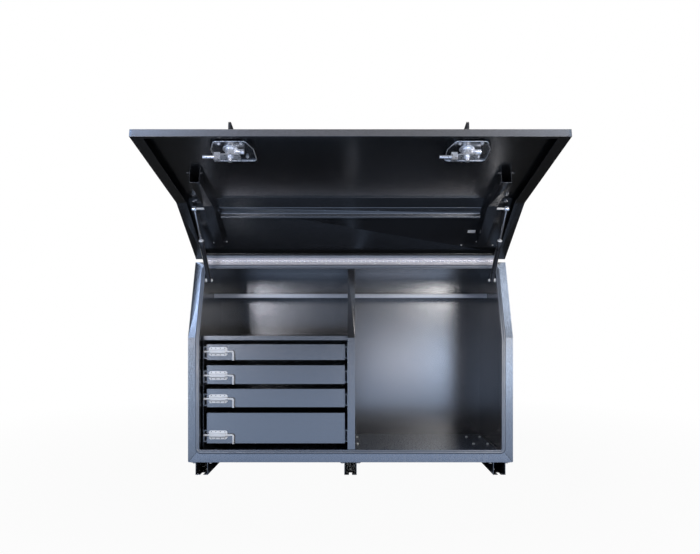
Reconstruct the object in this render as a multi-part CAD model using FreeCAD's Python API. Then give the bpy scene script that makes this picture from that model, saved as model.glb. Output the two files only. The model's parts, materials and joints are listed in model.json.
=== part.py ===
"""Steel tool box with a folding gullwing door, four drawers and three feet.

Shapes are built in a working frame: X along the width, Y from the front plane towards the back,
Z up from the underside of the body. save() moves them to the part's frame, whose origin lies on
the ground under the middle of the body. The door is built shut and then swung open.
"""
import FreeCAD
import Part
import math
import os

# ---- body -------------------------------------------------------------------
WIDTH = 1200.0
HEIGHT = 750.0
DEPTH = 560.0
FRONT_HEIGHT = 460.0
SLOPE_RUN = 108.0
SHEET = 2.0
CORNER_RADIUS = 5.0

# ---- front frame and seal ---------------------------------------------------
JAMB_WIDTH = 40.0
SILL_HEIGHT = 46.0
HEADER_WIDTH = 26.0
JAMB_RETURN = 24.0
SILL_RETURN = 6.0
HEADER_RETURN = 14.0
SEAL_WIDTH = 15.0
SEAL_PROUD = 3.0
SEAL_RADIUS = 6.0

# ---- feet -------------------------------------------------------------------
FOOT_HEIGHT = 48.0
FOOT_WEB = 46.0
FOOT_SHEET = 2.5
FOOT_FLANGE = 16.0
FOOT_END_GAP = 6.0
FOOT_SLOT_WIDTH = 11.0
FOOT_SLOT_LENGTH = 35.0
TRAY_HOLE_RADIUS = 5.5
TRAY_HOLE_SPACING = 380.0
FOOT_BOLT_RADIUS = 4.0
FOOT_BOLT_FRONT = 22.0
FOOT_BOLT_MIDDLE = 235.0
FOOT_BOLT_BACK = 80.0
FOOT_BOLT_HEAD = 6.5
FOOT_BOLT_HEAD_HEIGHT = 5.5
FOOT_NUT_RADIUS = 5.5
FOOT_NUT_HEIGHT = 4.0
FOOT_BOLT_TIP = 5.5
FOOT_BOLT_GAP = 0.3
FOOT_CORNER_GAP = 7.7
BOLT_HOLE_CLEARANCE = 0.2

# ---- inner panels -----------------------------------------------------------
DIVIDER_X = -8.3
DIVIDER_TRIM_WIDTH = 28.0
DIVIDER_TRIM_LEFT = -11.0
DIVIDER_TRIM_RETURN = 10.0
DIVIDER_SETBACK = 3.0
BAY_TOP_GAP = 32.3
BAY_TOP_LIP = 16.6
SHELF_DEPTH = 150.0
SHELF_DROP = 106.0
SHELF_LIP = 19.0
SHELF_BRACKET = 26.0
PANEL_GAP = 0.3

# ---- drawers ----------------------------------------------------------------
DRAWER_NAMES = ("top_drawer", "upper_drawer", "lower_drawer", "deep_drawer")
DRAWER_BOTTOMS = (375.4, 285.2, 197.9, 61.8)
DRAWER_FRONTS = (58.7, 69.9, 68.4, 114.3)
DRAWER_INSET = 19.0
DRAWER_FACE = 43.0
DRAWER_LENGTH = 450.0
DRAWER_SHEET = 1.5
DRAWER_FRONT_DEPTH = 12.0
SLIDE_THICKNESS = 12.7
SLIDE_HEIGHT = 45.0
SLIDE_LENGTH = 450.0
SLIDE_SHEET = 1.2
SLIDE_GAP = 0.3
SLIDE_RISE = 27.5
SLIDE_SETBACK = 3.0
OUTER_RAIL_SHORT = 2.0
MIDDLE_RAIL_SHORT = 1.6
MIDDLE_RAIL_INSET = 3.0
INNER_RAIL_DEPTH = 6.5

# ---- barrel bolts on the drawers --------------------------------------------
BOLT_RISE = 32.0
BOLT_RADIUS = 4.0
BOLT_CASE_INSET = 8.0
BOLT_CASE_LENGTH = 70.0
BOLT_CASE_HEIGHT = 33.0
BOLT_CASE_SHEET = 1.5
BOLT_CASE_CORNER = 5.0
BOLT_TUNNEL = 16.0
BOLT_TUNNEL_END = 6.0
BOLT_TUNNEL_CHAMFER = 4.0
BOLT_AXIS = 8.0
BOLT_REACH = 10.0
BOLT_TAIL = 101.0
BOLT_LEG_LENGTH = 33.0
BOLT_BEND = 6.0
BOLT_CLEARANCE = 0.1

# ---- door -------------------------------------------------------------------
OPEN_ANGLE = 101.6
DOOR_SHEET = 1.6
DOOR_DEPTH = 22.0
DOOR_INSET = 3.0
DOOR_BOTTOM = 14.0
DOOR_SIDE_LIP = 35.0
DOOR_HINGE_LIP = 26.0
DOOR_EDGE_LIP = 12.0

# ---- piano hinge ------------------------------------------------------------
HINGE_END_GAP = 7.5
HINGE_KNUCKLES = 25
HINGE_RADIUS = 4.5
HINGE_PIN_RADIUS = 1.6
HINGE_CLEARANCE = 0.05
HINGE_LEAF = 16.0
HINGE_SHEET = 1.5
HINGE_LEAF_GAP = 0.5
HINGE_RISE = 5.5
KNUCKLE_GAP = 0.3

# ---- door stiffeners --------------------------------------------------------
CHANNEL_TO_STRUT = 40.0
CHANNEL_WIDTH = 33.0
CHANNEL_DEPTH = 33.0
CHANNEL_FLANGE = 10.0
CHANNEL_SHEET = 1.5
CHANNEL_DOWN = 188.0
CHANNEL_TOP_GAP = 98.0
RAIL_FROM_BEND = 80.0
RAIL_DEPTH = 14.0
RAIL_LEG = 28.0
RAIL_LIP = 8.0

# ---- gas struts -------------------------------------------------------------
STRUT_INSET = 17.0
STRUT_EYE_WIDTH = 14.0
STRUT_EYE_RADIUS = 9.0
STRUT_TUBE_RADIUS = 8.5
STRUT_ROD_RADIUS = 4.0
STRUT_TUBE_LENGTH = 185.0
STRUT_TUBE_BORE = 140.0
STRUT_ROD_OVERLAP = 20.0
STRUT_COLLAR_LENGTH = 14.0
STRUT_COLLAR_EXTRA = 0.8
STRUT_FOOT_DROP = 71.0
STRUT_FOOT_SETBACK = 12.5
STRUT_HEAD_FROM_BEND = 33.4
STRUT_HEAD_INSET = 8.0
STUD_RADIUS = 4.0
STUD_HEAD_RADIUS = 6.5
STUD_HEAD = 1.8
STUD_SHOULDER_RADIUS = 7.5
STUD_CLEARANCE = 0.05
PIVOT_GAP = 0.3

# ---- folding T locks --------------------------------------------------------
LOCK_INSET = 265.0
LOCK_RISE = 85.0
PAN_DEPTH = 12.0
PAN_SHEET = 1.5
PAN_LEFT = 55.0
PAN_RIGHT = 65.0
PAN_DOWN = 48.0
PAN_UP = 66.0
PAN_NARROW = 17.0
PAN_TAPER = 45.0
PAN_RADIUS = 12.0
PAN_FLANGE = 11.0
PAN_SKIRT = 2.5
PAN_CLEARANCE = 0.5
PAN_SCREW_NEAR = 12.0
PAN_SCREW_FAR = 24.0
PAN_NUT_RADIUS = 5.0
PAN_NUT_HEIGHT = 4.0
PAN_STUD_RADIUS = 2.5
PAN_STUD_LENGTH = 6.5
HOUSING_RADIUS = 15.0
HOUSING_LENGTH = 22.0
SPINDLE_RADIUS = 6.0
SPINDLE_CLEARANCE = 0.05
SPINDLE_TAIL = 8.0
KEY_RADIUS = 7.5
KEY_LENGTH = 24.0
KEY_DROP = 8.0
CAM_SHEET = 3.0
CAM_HALF_LENGTH = 29.0
CAM_HALF_WIDTH = 17.0
CAM_CORNER = 10.0
CAM_BLOCK_START = 28.0
CAM_BLOCK_END = 45.0
CAM_BLOCK_HALF = 7.0
CAM_BLOCK_RISE = 11.0
CAM_BAR_RADIUS = 4.5
CAM_BAR_END = 78.0
CAM_NUT_RADIUS = 9.0
CAM_NUT_LENGTH = 5.0
HANDLE_PIVOT_DEPTH = 4.0
HANDLE_LENGTH = 61.0
HANDLE_WIDTH = 60.0
HANDLE_THICKNESS = 6.0
HANDLE_HUB_RADIUS = 4.5
HANDLE_HUB_WIDTH = 11.0
HANDLE_NECK = 14.0
HANDLE_SLOT = 10.0
HANDLE_TAPER = 12.0
HANDLE_CORNER = 8.0
EAR_THICKNESS = 4.0
EAR_PIN_RADIUS = 2.0
EAR_HALF = 3.5
EAR_DISC = 2.5

# ---- worked out from the sizes above ----------------------------------------
SLOPE = math.atan2(SLOPE_RUN, HEIGHT - FRONT_HEIGHT)
HALF = WIDTH / 2
OPENING = HALF - JAMB_WIDTH
HEADER_LOW = HEIGHT - HEADER_WIDTH * math.cos(SLOPE)
DOOR_GAP = 2 * HINGE_SHEET + HINGE_LEAF_GAP
DOOR_FACE = DOOR_GAP + DOOR_DEPTH
DOOR_INSIDE = DOOR_FACE - DOOR_SHEET
SHELF_TOP = HEIGHT - SHELF_DROP
BAY_TOP_HEIGHT = DRAWER_BOTTOMS[0] + DRAWER_FRONTS[0] + BAY_TOP_GAP
DRAWER_LEFT = -OPENING + DRAWER_INSET
DRAWER_RIGHT = DIVIDER_X - SLIDE_THICKNESS
SUPPORT_X = DRAWER_LEFT - SLIDE_THICKNESS
BOLT_CASE_LEFT = DRAWER_LEFT + BOLT_CASE_INSET
BOLT_TIP = DRAWER_LEFT - BOLT_REACH
BOLT_LEG_X = DRAWER_LEFT + BOLT_TAIL
FOOT_BOLT_OFFSET = FOOT_WEB / 2 + FOOT_BOLT_HEAD + FOOT_BOLT_GAP
FOOT_INSET = CORNER_RADIUS + FOOT_CORNER_GAP + FOOT_BOLT_HEAD + FOOT_BOLT_OFFSET
FOOT_CENTRES = (-HALF + FOOT_INSET, 0, HALF - FOOT_INSET)
FOOT_BOLT_ROWS = (FOOT_BOLT_FRONT, DEPTH - FOOT_BOLT_MIDDLE, DEPTH - FOOT_BOLT_BACK)
HINGE_LENGTH = 2 * (OPENING - HINGE_END_GAP)
HINGE_Y = SLOPE_RUN + HINGE_RISE * math.sin(SLOPE) - DOOR_GAP / 2 * math.cos(SLOPE)
HINGE_Z = HEIGHT + HINGE_RISE * math.cos(SLOPE) + DOOR_GAP / 2 * math.sin(SLOPE)
LOCK_Z = DOOR_BOTTOM + LOCK_RISE
LOCK_X = HALF - LOCK_INSET
LOCK_OFFSET = (PAN_RIGHT - PAN_LEFT) / 2
PAN_FLOOR = PAN_DEPTH - DOOR_FACE
PAN_BACK = PAN_FLOOR + PAN_SHEET
STRUT_X = OPENING - STRUT_INSET
STRUT_FOOT_Z = HEIGHT - STRUT_FOOT_DROP
STRUT_FOOT = ((STRUT_FOOT_Z - FRONT_HEIGHT) * math.tan(SLOPE) + STRUT_FOOT_SETBACK, STRUT_FOOT_Z)
STRUT_HEAD_ALONG = HINGE_RISE + math.hypot(SLOPE_RUN, HEIGHT - FRONT_HEIGHT) - STRUT_HEAD_FROM_BEND
CHANNEL_OUTER_X = STRUT_X - CHANNEL_TO_STRUT
CHANNEL_INNER_X = CHANNEL_OUTER_X - CHANNEL_WIDTH

X_AXIS = FreeCAD.Vector(1, 0, 0)
Y_AXIS = FreeCAD.Vector(0, 1, 0)
Z_AXIS = FreeCAD.Vector(0, 0, 1)


# ---- helpers ----------------------------------------------------------------
def vec(x, y, z):
    return FreeCAD.Vector(x, y, z)


def block(x0, x1, y0, y1, z0, z1):
    """A box between two corners, given in any order."""
    low = vec(min(x0, x1), min(y0, y1), min(z0, z1))
    return Part.makeBox(abs(x1 - x0), abs(y1 - y0), abs(z1 - z0), low)


def prism_x(points, x0, x1):
    """A (y, z) outline drawn out along X."""
    corners = [vec(min(x0, x1), y, z) for y, z in points]
    face = Part.Face(Part.makePolygon(corners + corners[:1]))
    return face.extrude(vec(abs(x1 - x0), 0, 0))


def prism_y(points, y0, y1):
    """An (x, z) outline drawn out along Y."""
    corners = [vec(x, y0, z) for x, z in points]
    face = Part.Face(Part.makePolygon(corners + corners[:1]))
    return face.extrude(vec(0, y1 - y0, 0))


def rod(radius, start, direction, length):
    return Part.makeCylinder(radius, length, start, direction)


def tube(outer, inner, start, direction, length):
    return rod(outer, start, direction, length).cut(rod(inner, start, direction, length))


def join(shapes):
    """One clean solid from shapes that touch or overlap."""
    return shapes[0].fuse(shapes[1:]).removeSplitter()


def mirror(shape):
    return shape.mirror(vec(0, 0, 0), X_AXIS)


def rounded_plate(x0, x1, z0, z1, radius, y0, y1):
    """A plate across Y with its four corners rounded."""
    plate = block(x0, x1, y0, y1, z0, z1)
    corners = [e for e in plate.Edges if abs(e.tangentAt(e.FirstParameter).y) > 0.99]
    return plate.makeFillet(radius, corners)


def front_line(offset, low, high):
    """The body's front profile between two heights, moved forwards by offset, as (y, z) points."""
    bend = FRONT_HEIGHT + offset * math.tan(SLOPE / 2)

    def depth_at(z):
        if z <= bend:
            return -offset
        return (z - FRONT_HEIGHT) * math.tan(SLOPE) - offset / math.cos(SLOPE)

    heights = [low] + [bend] * (low < bend < high) + [high]
    return [(depth_at(z), z) for z in heights]


def band(offset_a, offset_b, low, high, x0, x1):
    """Sheet that follows the front profile, between two offsets from it."""
    outline = front_line(offset_a, low, high) + front_line(offset_b, low, high)[::-1]
    return prism_x(outline, x0, x1)


def slope_point(along, inward):
    """(y, z) of a point from the hinge axis: down the slope, and inwards from the hinge's plane."""
    y = HINGE_Y - along * math.sin(SLOPE) + inward * math.cos(SLOPE)
    z = HINGE_Z - along * math.cos(SLOPE) - inward * math.sin(SLOPE)
    return y, z


def slope_block(a0, a1, n0, n1, x0, x1):
    outline = [slope_point(a0, n0), slope_point(a1, n0), slope_point(a1, n1), slope_point(a0, n1)]
    return prism_x(outline, x0, x1)


def swing(shape):
    """Turns a shape of the shut door to the open door."""
    shape.rotate(vec(0, HINGE_Y, HINGE_Z), X_AXIS, -OPEN_ANGLE)
    return shape


def save(name, shape):
    """Writes a node, moved to the part's frame."""
    shape.translate(vec(0, -DEPTH / 2, FOOT_HEIGHT))
    shape.exportStep("parts/" + name + ".step")


def group(shapes):
    return Part.makeCompound(shapes)


# ---- body shell -------------------------------------------------------------
def body_outline(inset, y0, y1, top):
    """The body's front view as a solid, with its lower corners rounded."""
    solid = block(-HALF + inset, HALF - inset, y0, y1, inset, top)
    low = [e for e in solid.Edges
           if abs(e.tangentAt(e.FirstParameter).y) > 0.99 and e.CenterOfMass.z < inset + 1]
    return solid.makeFillet(CORNER_RADIUS - inset, low)


def behind_front(offset):
    """Everything in the body that lies behind its front profile."""
    outline = front_line(offset, 0, HEIGHT) + [(DEPTH, HEIGHT), (DEPTH, 0)]
    return prism_x(outline, -HALF, HALF)


def body_shell():
    shell = body_outline(0, 0, DEPTH, HEIGHT).cut(body_outline(SHEET, 0, DEPTH, HEIGHT + 1))
    shell = shell.common(behind_front(-SHEET))
    flat = HALF - CORNER_RADIUS
    left = shell.common(block(-HALF, -flat, 0, DEPTH, 0, HEIGHT))
    floor = shell.common(block(-flat, flat, 0, DEPTH, 0, SHEET)).cut(floor_holes())
    save("left_side", left.copy())
    save("right_side", mirror(left))
    save("floor_panel", floor)
    save("back_panel", body_outline(SHEET, DEPTH - SHEET, DEPTH, HEIGHT))
    inner = HALF - SHEET
    top = block(-inner, inner, 0, DEPTH - SHEET, HEIGHT - SHEET, HEIGHT)
    save("top_panel", top.common(behind_front(-SHEET)))


# ---- front frame ------------------------------------------------------------
def corner_mitre():
    """The wedge below the mitre line from the lower left corner to the opening's corner."""
    return prism_y([(-HALF, 0), (-OPENING, SILL_HEIGHT), (-OPENING, 0)], -1, SHEET + 1)


def front_frame():
    flange = band(0, -SHEET, 0, HEIGHT, -HALF, -OPENING)
    flange = flange.common(body_outline(0, 0, DEPTH, HEIGHT)).cut(corner_mitre())
    inner_edge = band(0, -JAMB_RETURN, SILL_HEIGHT, HEADER_LOW, -OPENING, -OPENING + SHEET)
    jamb = join([flange, inner_edge])
    save("left_jamb", jamb.copy())
    save("right_jamb", mirror(jamb))
    face = body_outline(0, 0, SHEET, SILL_HEIGHT)
    corner = block(-HALF, -OPENING, 0, SHEET, 0, SILL_HEIGHT).cut(corner_mitre())
    face = face.cut(corner).cut(mirror(corner))
    ledge = block(-OPENING, OPENING, 0, SILL_RETURN, SILL_HEIGHT - SHEET, SILL_HEIGHT)
    save("sill", join([face, ledge]))
    flat = band(0, -SHEET, HEADER_LOW, HEIGHT, -OPENING, OPENING)
    fold = band(0, -HEADER_RETURN, HEADER_LOW, HEADER_LOW + SHEET, -OPENING, OPENING)
    save("header", join([flat, fold]))


def door_seal():
    """Ring of rubber on the front faces round the opening, with rounded corners."""
    edge = OPENING - SHEET
    low, high = SILL_HEIGHT - SEAL_WIDTH, HEADER_LOW + SEAL_WIDTH * math.cos(SLOPE)
    out = edge + SEAL_WIDTH
    back = SLOPE_RUN + SEAL_WIDTH
    ring = band(SEAL_PROUD, 0, low, high, -out, out)
    outside = rounded_plate(-out, out, low, high, SEAL_RADIUS + SEAL_WIDTH, -SEAL_WIDTH, back)
    inside = rounded_plate(-edge, edge, SILL_HEIGHT, HEADER_LOW, SEAL_RADIUS, -SEAL_WIDTH, back)
    save("door_seal", ring.common(outside).cut(inside))


# ---- feet -------------------------------------------------------------------
def bolt_places():
    return [(centre + side * FOOT_BOLT_OFFSET, row)
            for centre in FOOT_CENTRES for side in (-1, 1) for row in FOOT_BOLT_ROWS]


def floor_holes():
    radius = FOOT_BOLT_RADIUS + BOLT_HOLE_CLEARANCE
    start = -FOOT_SHEET - 1
    return group([rod(radius, vec(x, y, start), Z_AXIS, FOOT_SHEET + SHEET + 2)
                  for x, y in bolt_places()])


def foot(centre):
    half = FOOT_WEB / 2
    wing = half + FOOT_FLANGE
    y0, y1 = FOOT_END_GAP, DEPTH - FOOT_END_GAP
    outside = block(-half, half, y0, y1, -FOOT_HEIGHT, 0)
    hollow = block(-half + FOOT_SHEET, half - FOOT_SHEET, y0, y1, -FOOT_HEIGHT + FOOT_SHEET, 0)
    flanges = block(-wing, wing, y0, y1, -FOOT_SHEET, 0)
    hat = join([outside, flanges]).cut(hollow)
    slot = block(-FOOT_SLOT_WIDTH / 2, FOOT_SLOT_WIDTH / 2, y0, y0 + FOOT_SLOT_LENGTH,
                 -FOOT_HEIGHT, -FOOT_HEIGHT + FOOT_SHEET)
    holes = [rod(TRAY_HOLE_RADIUS, vec(0, DEPTH / 2 + side * TRAY_HOLE_SPACING / 2, -FOOT_HEIGHT),
                 Z_AXIS, FOOT_SHEET) for side in (-1, 1)]
    hat = hat.cut([slot] + holes)
    hat.translate(vec(centre, 0, 0))
    return hat.cut(floor_holes())


def hexagon(radius, x, y, z, height):
    points = [vec(x + radius * math.cos(math.radians(60 * i)),
                  y + radius * math.sin(math.radians(60 * i)), z) for i in range(7)]
    return Part.Face(Part.makePolygon(points)).extrude(vec(0, 0, height))


def foot_bolt(x, y):
    low = -FOOT_SHEET - FOOT_BOLT_HEAD_HEIGHT
    shank = rod(FOOT_BOLT_RADIUS, vec(x, y, low), Z_AXIS, SHEET + FOOT_BOLT_TIP - low)
    head = hexagon(FOOT_BOLT_HEAD, x, y, low, FOOT_BOLT_HEAD_HEIGHT)
    nut = hexagon(FOOT_NUT_RADIUS, x, y, SHEET, FOOT_NUT_HEIGHT)
    return join([shank, head, nut])


def feet():
    for name, centre in zip(("foot_left", "foot_centre", "foot_right"), FOOT_CENTRES):
        save(name, foot(centre))
    save("foot_bolts", group([foot_bolt(x, y) for x, y in bolt_places()]))


# ---- inner panels -----------------------------------------------------------
def divider():
    trim_right = DIVIDER_TRIM_LEFT + DIVIDER_TRIM_WIDTH
    low, high = SILL_HEIGHT + PANEL_GAP, HEADER_LOW - PANEL_GAP
    front = -DIVIDER_SETBACK
    back = DEPTH - SHEET
    outline = front_line(front - SHEET, SHEET, HEIGHT - SHEET) + [(back, HEIGHT - SHEET), (back, SHEET)]
    plate = prism_x(outline, DIVIDER_X, DIVIDER_X + SHEET)
    behind_edges = block(DIVIDER_X, DIVIDER_X + SHEET, 0, SILL_RETURN + PANEL_GAP, SHEET, low)
    behind_header = band(0, -HEADER_RETURN - PANEL_GAP, high, HEIGHT - SHEET, DIVIDER_X, DIVIDER_X + SHEET)
    shelf_slot = block(DIVIDER_X, DIVIDER_X + SHEET, back - SHELF_DEPTH - PANEL_GAP, back,
                       SHELF_TOP - SHELF_LIP - PANEL_GAP, SHELF_TOP + PANEL_GAP)
    plate = plate.cut([behind_edges, behind_header, shelf_slot])
    face = band(front, front - SHEET, low, high, DIVIDER_TRIM_LEFT, trim_right)
    fold = band(front, -DIVIDER_TRIM_RETURN, low, high, trim_right - SHEET, trim_right)
    save("divider", join([plate, face, fold]))


def drawer_bay():
    """The plate that carries the left slides, and the shelf over the drawers."""
    back = DEPTH - SHEET
    under = BAY_TOP_HEIGHT - SHEET
    save("drawer_support_panel",
         block(SUPPORT_X - SHEET, SUPPORT_X, DRAWER_FACE, back, SHEET, under))
    left = -HALF + SHEET
    shelf = block(left, DIVIDER_X, DRAWER_FACE, back, under, BAY_TOP_HEIGHT)
    lip = block(left, DIVIDER_X, DRAWER_FACE - SHEET, DRAWER_FACE,
                BAY_TOP_HEIGHT - BAY_TOP_LIP, BAY_TOP_HEIGHT)
    save("drawer_bay_top", join([shelf, lip]))


def rear_shelf():
    inner = HALF - SHEET
    back = DEPTH - SHEET
    front = back - SHELF_DEPTH
    plate = block(-inner, inner, front, back, SHELF_TOP - SHEET, SHELF_TOP)
    lip = block(-inner, inner, front, front + SHEET, SHELF_TOP - SHELF_LIP, SHELF_TOP)
    bracket = block(-inner, -inner + SHEET, front, back, SHELF_TOP - SHELF_BRACKET, SHELF_TOP)
    save("rear_shelf", join([plate, lip, bracket, mirror(bracket)]))


# ---- drawer slides ----------------------------------------------------------
def slide_section(near, far, half_height, z, y0):
    """A channel of a slide: its web at near, its flanges reaching to far."""
    web = near + math.copysign(SLIDE_SHEET, far - near)
    outside = block(near, far, y0, y0 + SLIDE_LENGTH, z - half_height, z + half_height)
    inside = block(web, far, y0, y0 + SLIDE_LENGTH,
                   z - half_height + SLIDE_SHEET, z + half_height - SLIDE_SHEET)
    return outside.cut(inside)


def slide_members(wall, side, z):
    """Outer, middle and inner members of one slide. side is +1 if the drawer lies at +X."""
    y0 = DRAWER_FACE + SLIDE_SETBACK
    outer_half = SLIDE_HEIGHT / 2
    middle_half = outer_half - SLIDE_SHEET - SLIDE_GAP
    inner_half = middle_half - SLIDE_SHEET - SLIDE_GAP
    drawer = wall + side * SLIDE_THICKNESS
    outer = slide_section(wall, drawer - side * OUTER_RAIL_SHORT, outer_half, z, y0)
    middle = slide_section(wall + side * MIDDLE_RAIL_INSET, drawer - side * MIDDLE_RAIL_SHORT,
                           middle_half, z, y0)
    inner = slide_section(drawer, drawer - side * INNER_RAIL_DEPTH, inner_half, z, y0)
    return outer, middle, inner


# ---- drawers ----------------------------------------------------------------
def tray(bottom, front):
    t = DRAWER_SHEET
    top = bottom + front
    box_front = DRAWER_FACE + DRAWER_FRONT_DEPTH
    box_back = DRAWER_FACE + DRAWER_LENGTH
    outside = block(DRAWER_LEFT, DRAWER_RIGHT, box_front, box_back, bottom, top)
    inside = block(DRAWER_LEFT + t, DRAWER_RIGHT - t, box_front + t, box_back - t, bottom + t, top)
    face = block(DRAWER_LEFT, DRAWER_RIGHT, DRAWER_FACE, box_front, bottom, top)
    hollow = block(DRAWER_LEFT + t, DRAWER_RIGHT - t, DRAWER_FACE + t, box_front, bottom + t, top - t)
    return join([outside.cut(inside), face.cut(hollow)])


def bolt_case(z):
    """Folded cover plate with a raised tunnel for the rod, chamfered at both ends."""
    t = BOLT_CASE_SHEET
    x0, x1 = BOLT_CASE_LEFT, BOLT_CASE_LEFT + BOLT_CASE_LENGTH
    half, rise = BOLT_CASE_HEIGHT / 2, BOLT_TUNNEL / 2
    y = DRAWER_FACE
    plate = block(x0, x1, y - t, y, z - half, z + half)
    corners = [e for e in plate.Edges if abs(e.tangentAt(e.FirstParameter).y) > 0.99]
    plate = plate.makeChamfer(BOLT_CASE_CORNER, corners)
    crest = y - BOLT_AXIS - BOLT_RADIUS - BOLT_CLEARANCE - t
    tunnel = block(x0 + BOLT_TUNNEL_END, x1 - BOLT_TUNNEL_END, crest, y, z - rise, z + rise)
    ridge = [e for e in tunnel.Edges
             if abs(e.tangentAt(e.FirstParameter).x) > 0.99 and e.CenterOfMass.y < crest + 1]
    tunnel = tunnel.makeChamfer(BOLT_TUNNEL_CHAMFER, ridge)
    bore = rod(BOLT_RADIUS + BOLT_CLEARANCE, vec(x0, y - BOLT_AXIS, z), X_AXIS, BOLT_CASE_LENGTH)
    return join([plate, tunnel]).cut(bore)


def bolt(z):
    """Round rod with its tail bent down as a handle."""
    y = DRAWER_FACE - BOLT_AXIS
    r, bend = BOLT_RADIUS, BOLT_BEND
    straight = rod(r, vec(BOLT_TIP, y, z), X_AXIS, BOLT_LEG_X - bend - BOLT_TIP)
    ring = Part.makeTorus(bend, r, vec(BOLT_LEG_X - bend, y, z - bend), Y_AXIS)
    corner = ring.common(block(BOLT_LEG_X - bend, BOLT_LEG_X + r, y - r, y + r, z - bend, z + r))
    leg = rod(r, vec(BOLT_LEG_X, y, z - BOLT_LEG_LENGTH), Z_AXIS, BOLT_LEG_LENGTH - bend)
    return join([straight, corner, leg])


def drawers():
    fixed = []
    for name, bottom, front in zip(DRAWER_NAMES, DRAWER_BOTTOMS, DRAWER_FRONTS):
        z = bottom + SLIDE_RISE
        left = slide_members(SUPPORT_X, 1, z)
        right = slide_members(DIVIDER_X, -1, z)
        fixed += [left[0], right[0]]
        save(name + "_middle_rails", group([left[1], right[1]]))
        save(name + "_inner_rails", group([left[2], right[2]]))
        save(name + "_tray", tray(bottom, front))
        save(name + "_bolt_case", bolt_case(bottom + BOLT_RISE))
        save(name + "_bolt", bolt(bottom + BOLT_RISE))
    save("drawer_outer_rails", group(fixed))


# ---- door -------------------------------------------------------------------
def door_panel():
    """One folded pan: two faces with a bend between them, and returned edges all round."""
    t = DOOR_SHEET
    out, lip = DOOR_FACE, DOOR_GAP
    half = HALF - DOOR_INSET
    hinge_lip_low = HEIGHT - DOOR_HINGE_LIP * math.cos(SLOPE)
    skin = band(out, out - t, DOOR_BOTTOM, HEIGHT, -half, half)
    walls = band(out, lip, DOOR_BOTTOM, HEIGHT, -half, -half + t)
    side_lip = band(lip + t, lip, DOOR_BOTTOM, HEIGHT, -half, -half + DOOR_SIDE_LIP)
    top = band(out, lip, HEIGHT - t, HEIGHT, -half, half)
    top_lip = band(lip + t, lip, hinge_lip_low, HEIGHT, -half, half)
    edge = band(out, lip, DOOR_BOTTOM, DOOR_BOTTOM + t, -half, half)
    edge_lip = band(lip + t, lip, DOOR_BOTTOM, DOOR_BOTTOM + DOOR_EDGE_LIP, -half, half)
    pan = join([skin, walls, mirror(walls), side_lip, mirror(side_lip), top, top_lip, edge, edge_lip])
    hole = pan_outline(PAN_SHEET + PAN_CLEARANCE, -DOOR_FACE - 1, -DOOR_INSIDE + 1)
    save("door_panel", swing(pan.cut(both_locks(hole))))


def door_channel():
    """Open hat section that stiffens the bend and carries the strut's upper stud."""
    t = CHANNEL_SHEET
    top, low = DOOR_INSIDE, DOOR_INSIDE - CHANNEL_DEPTH
    start = FRONT_HEIGHT - CHANNEL_DOWN
    end = HEIGHT - CHANNEL_TOP_GAP * math.cos(SLOPE)
    x0, x1 = CHANNEL_INNER_X, CHANNEL_OUTER_X
    sides = [band(top, low, start, end, x, x + t) for x in (x0, x1 - t)]
    web = band(low + t, low, start, end, x0, x1)
    flanges = [band(top, top - t, start, end, a, b)
               for a, b in ((x0 - CHANNEL_FLANGE, x0 + t), (x1 - t, x1 + CHANNEL_FLANGE))]
    return join(sides + [web] + flanges)


def door_stiffeners():
    right = door_channel()
    save("door_channel_left", swing(mirror(right)))
    save("door_channel_right", swing(right))
    t = CHANNEL_SHEET
    end = CHANNEL_INNER_X - CHANNEL_FLANGE - PANEL_GAP
    low = FRONT_HEIGHT + RAIL_FROM_BEND * math.cos(SLOPE)
    leg = band(DOOR_INSIDE, DOOR_INSIDE - t, low - RAIL_LEG, low + t, -end, end)
    web = band(DOOR_INSIDE, DOOR_INSIDE - RAIL_DEPTH, low, low + t, -end, end)
    lip = band(DOOR_INSIDE - RAIL_DEPTH + t, DOOR_INSIDE - RAIL_DEPTH, low, low + RAIL_LIP, -end, end)
    save("door_cross_rail", swing(join([leg, web, lip])))


# ---- piano hinge ------------------------------------------------------------
def knuckle_spans(first):
    """X spans of every second knuckle, starting with the first or the second."""
    pitch = HINGE_LENGTH / HINGE_KNUCKLES
    start = -HINGE_LENGTH / 2
    return [(start + i * pitch + KNUCKLE_GAP / 2, start + (i + 1) * pitch - KNUCKLE_GAP / 2)
            for i in range(first, HINGE_KNUCKLES, 2)]


def hinge_leaf(first, side):
    """A leaf with its knuckles. side is +1 on the cabinet and -1 on the door."""
    near, far = side * HINGE_LEAF_GAP / 2, side * DOOR_GAP / 2
    half = HINGE_LENGTH / 2
    axis_y, axis_z = slope_point(0, 0)
    pieces = [slope_block(HINGE_RISE - 0.5, HINGE_LEAF, near, far, -half, half)]
    for x0, x1 in knuckle_spans(first):
        pieces.append(rod(HINGE_RADIUS, vec(x0, axis_y, axis_z), X_AXIS, x1 - x0))
        pieces.append(slope_block(0, HINGE_RISE, near, far, x0, x1))
    bore = rod(HINGE_PIN_RADIUS + HINGE_CLEARANCE, vec(-half, axis_y, axis_z), X_AXIS, HINGE_LENGTH)
    return join(pieces).cut(bore)


def piano_hinge():
    save("hinge_leaf_cabinet", hinge_leaf(0, 1))
    save("hinge_leaf_door", swing(hinge_leaf(1, -1)))
    axis_y, axis_z = slope_point(0, 0)
    save("hinge_pin", rod(HINGE_PIN_RADIUS, vec(-HINGE_LENGTH / 2, axis_y, axis_z), X_AXIS, HINGE_LENGTH))


# ---- gas struts -------------------------------------------------------------
def strut_head():
    """(y, z) of the upper pivot with the door open."""
    y, z = slope_point(STRUT_HEAD_ALONG, -STRUT_HEAD_INSET)
    turn = math.radians(-OPEN_ANGLE)
    dy, dz = y - HINGE_Y, z - HINGE_Z
    return (HINGE_Y + dy * math.cos(turn) - dz * math.sin(turn),
            HINGE_Z + dy * math.sin(turn) + dz * math.cos(turn))


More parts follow.
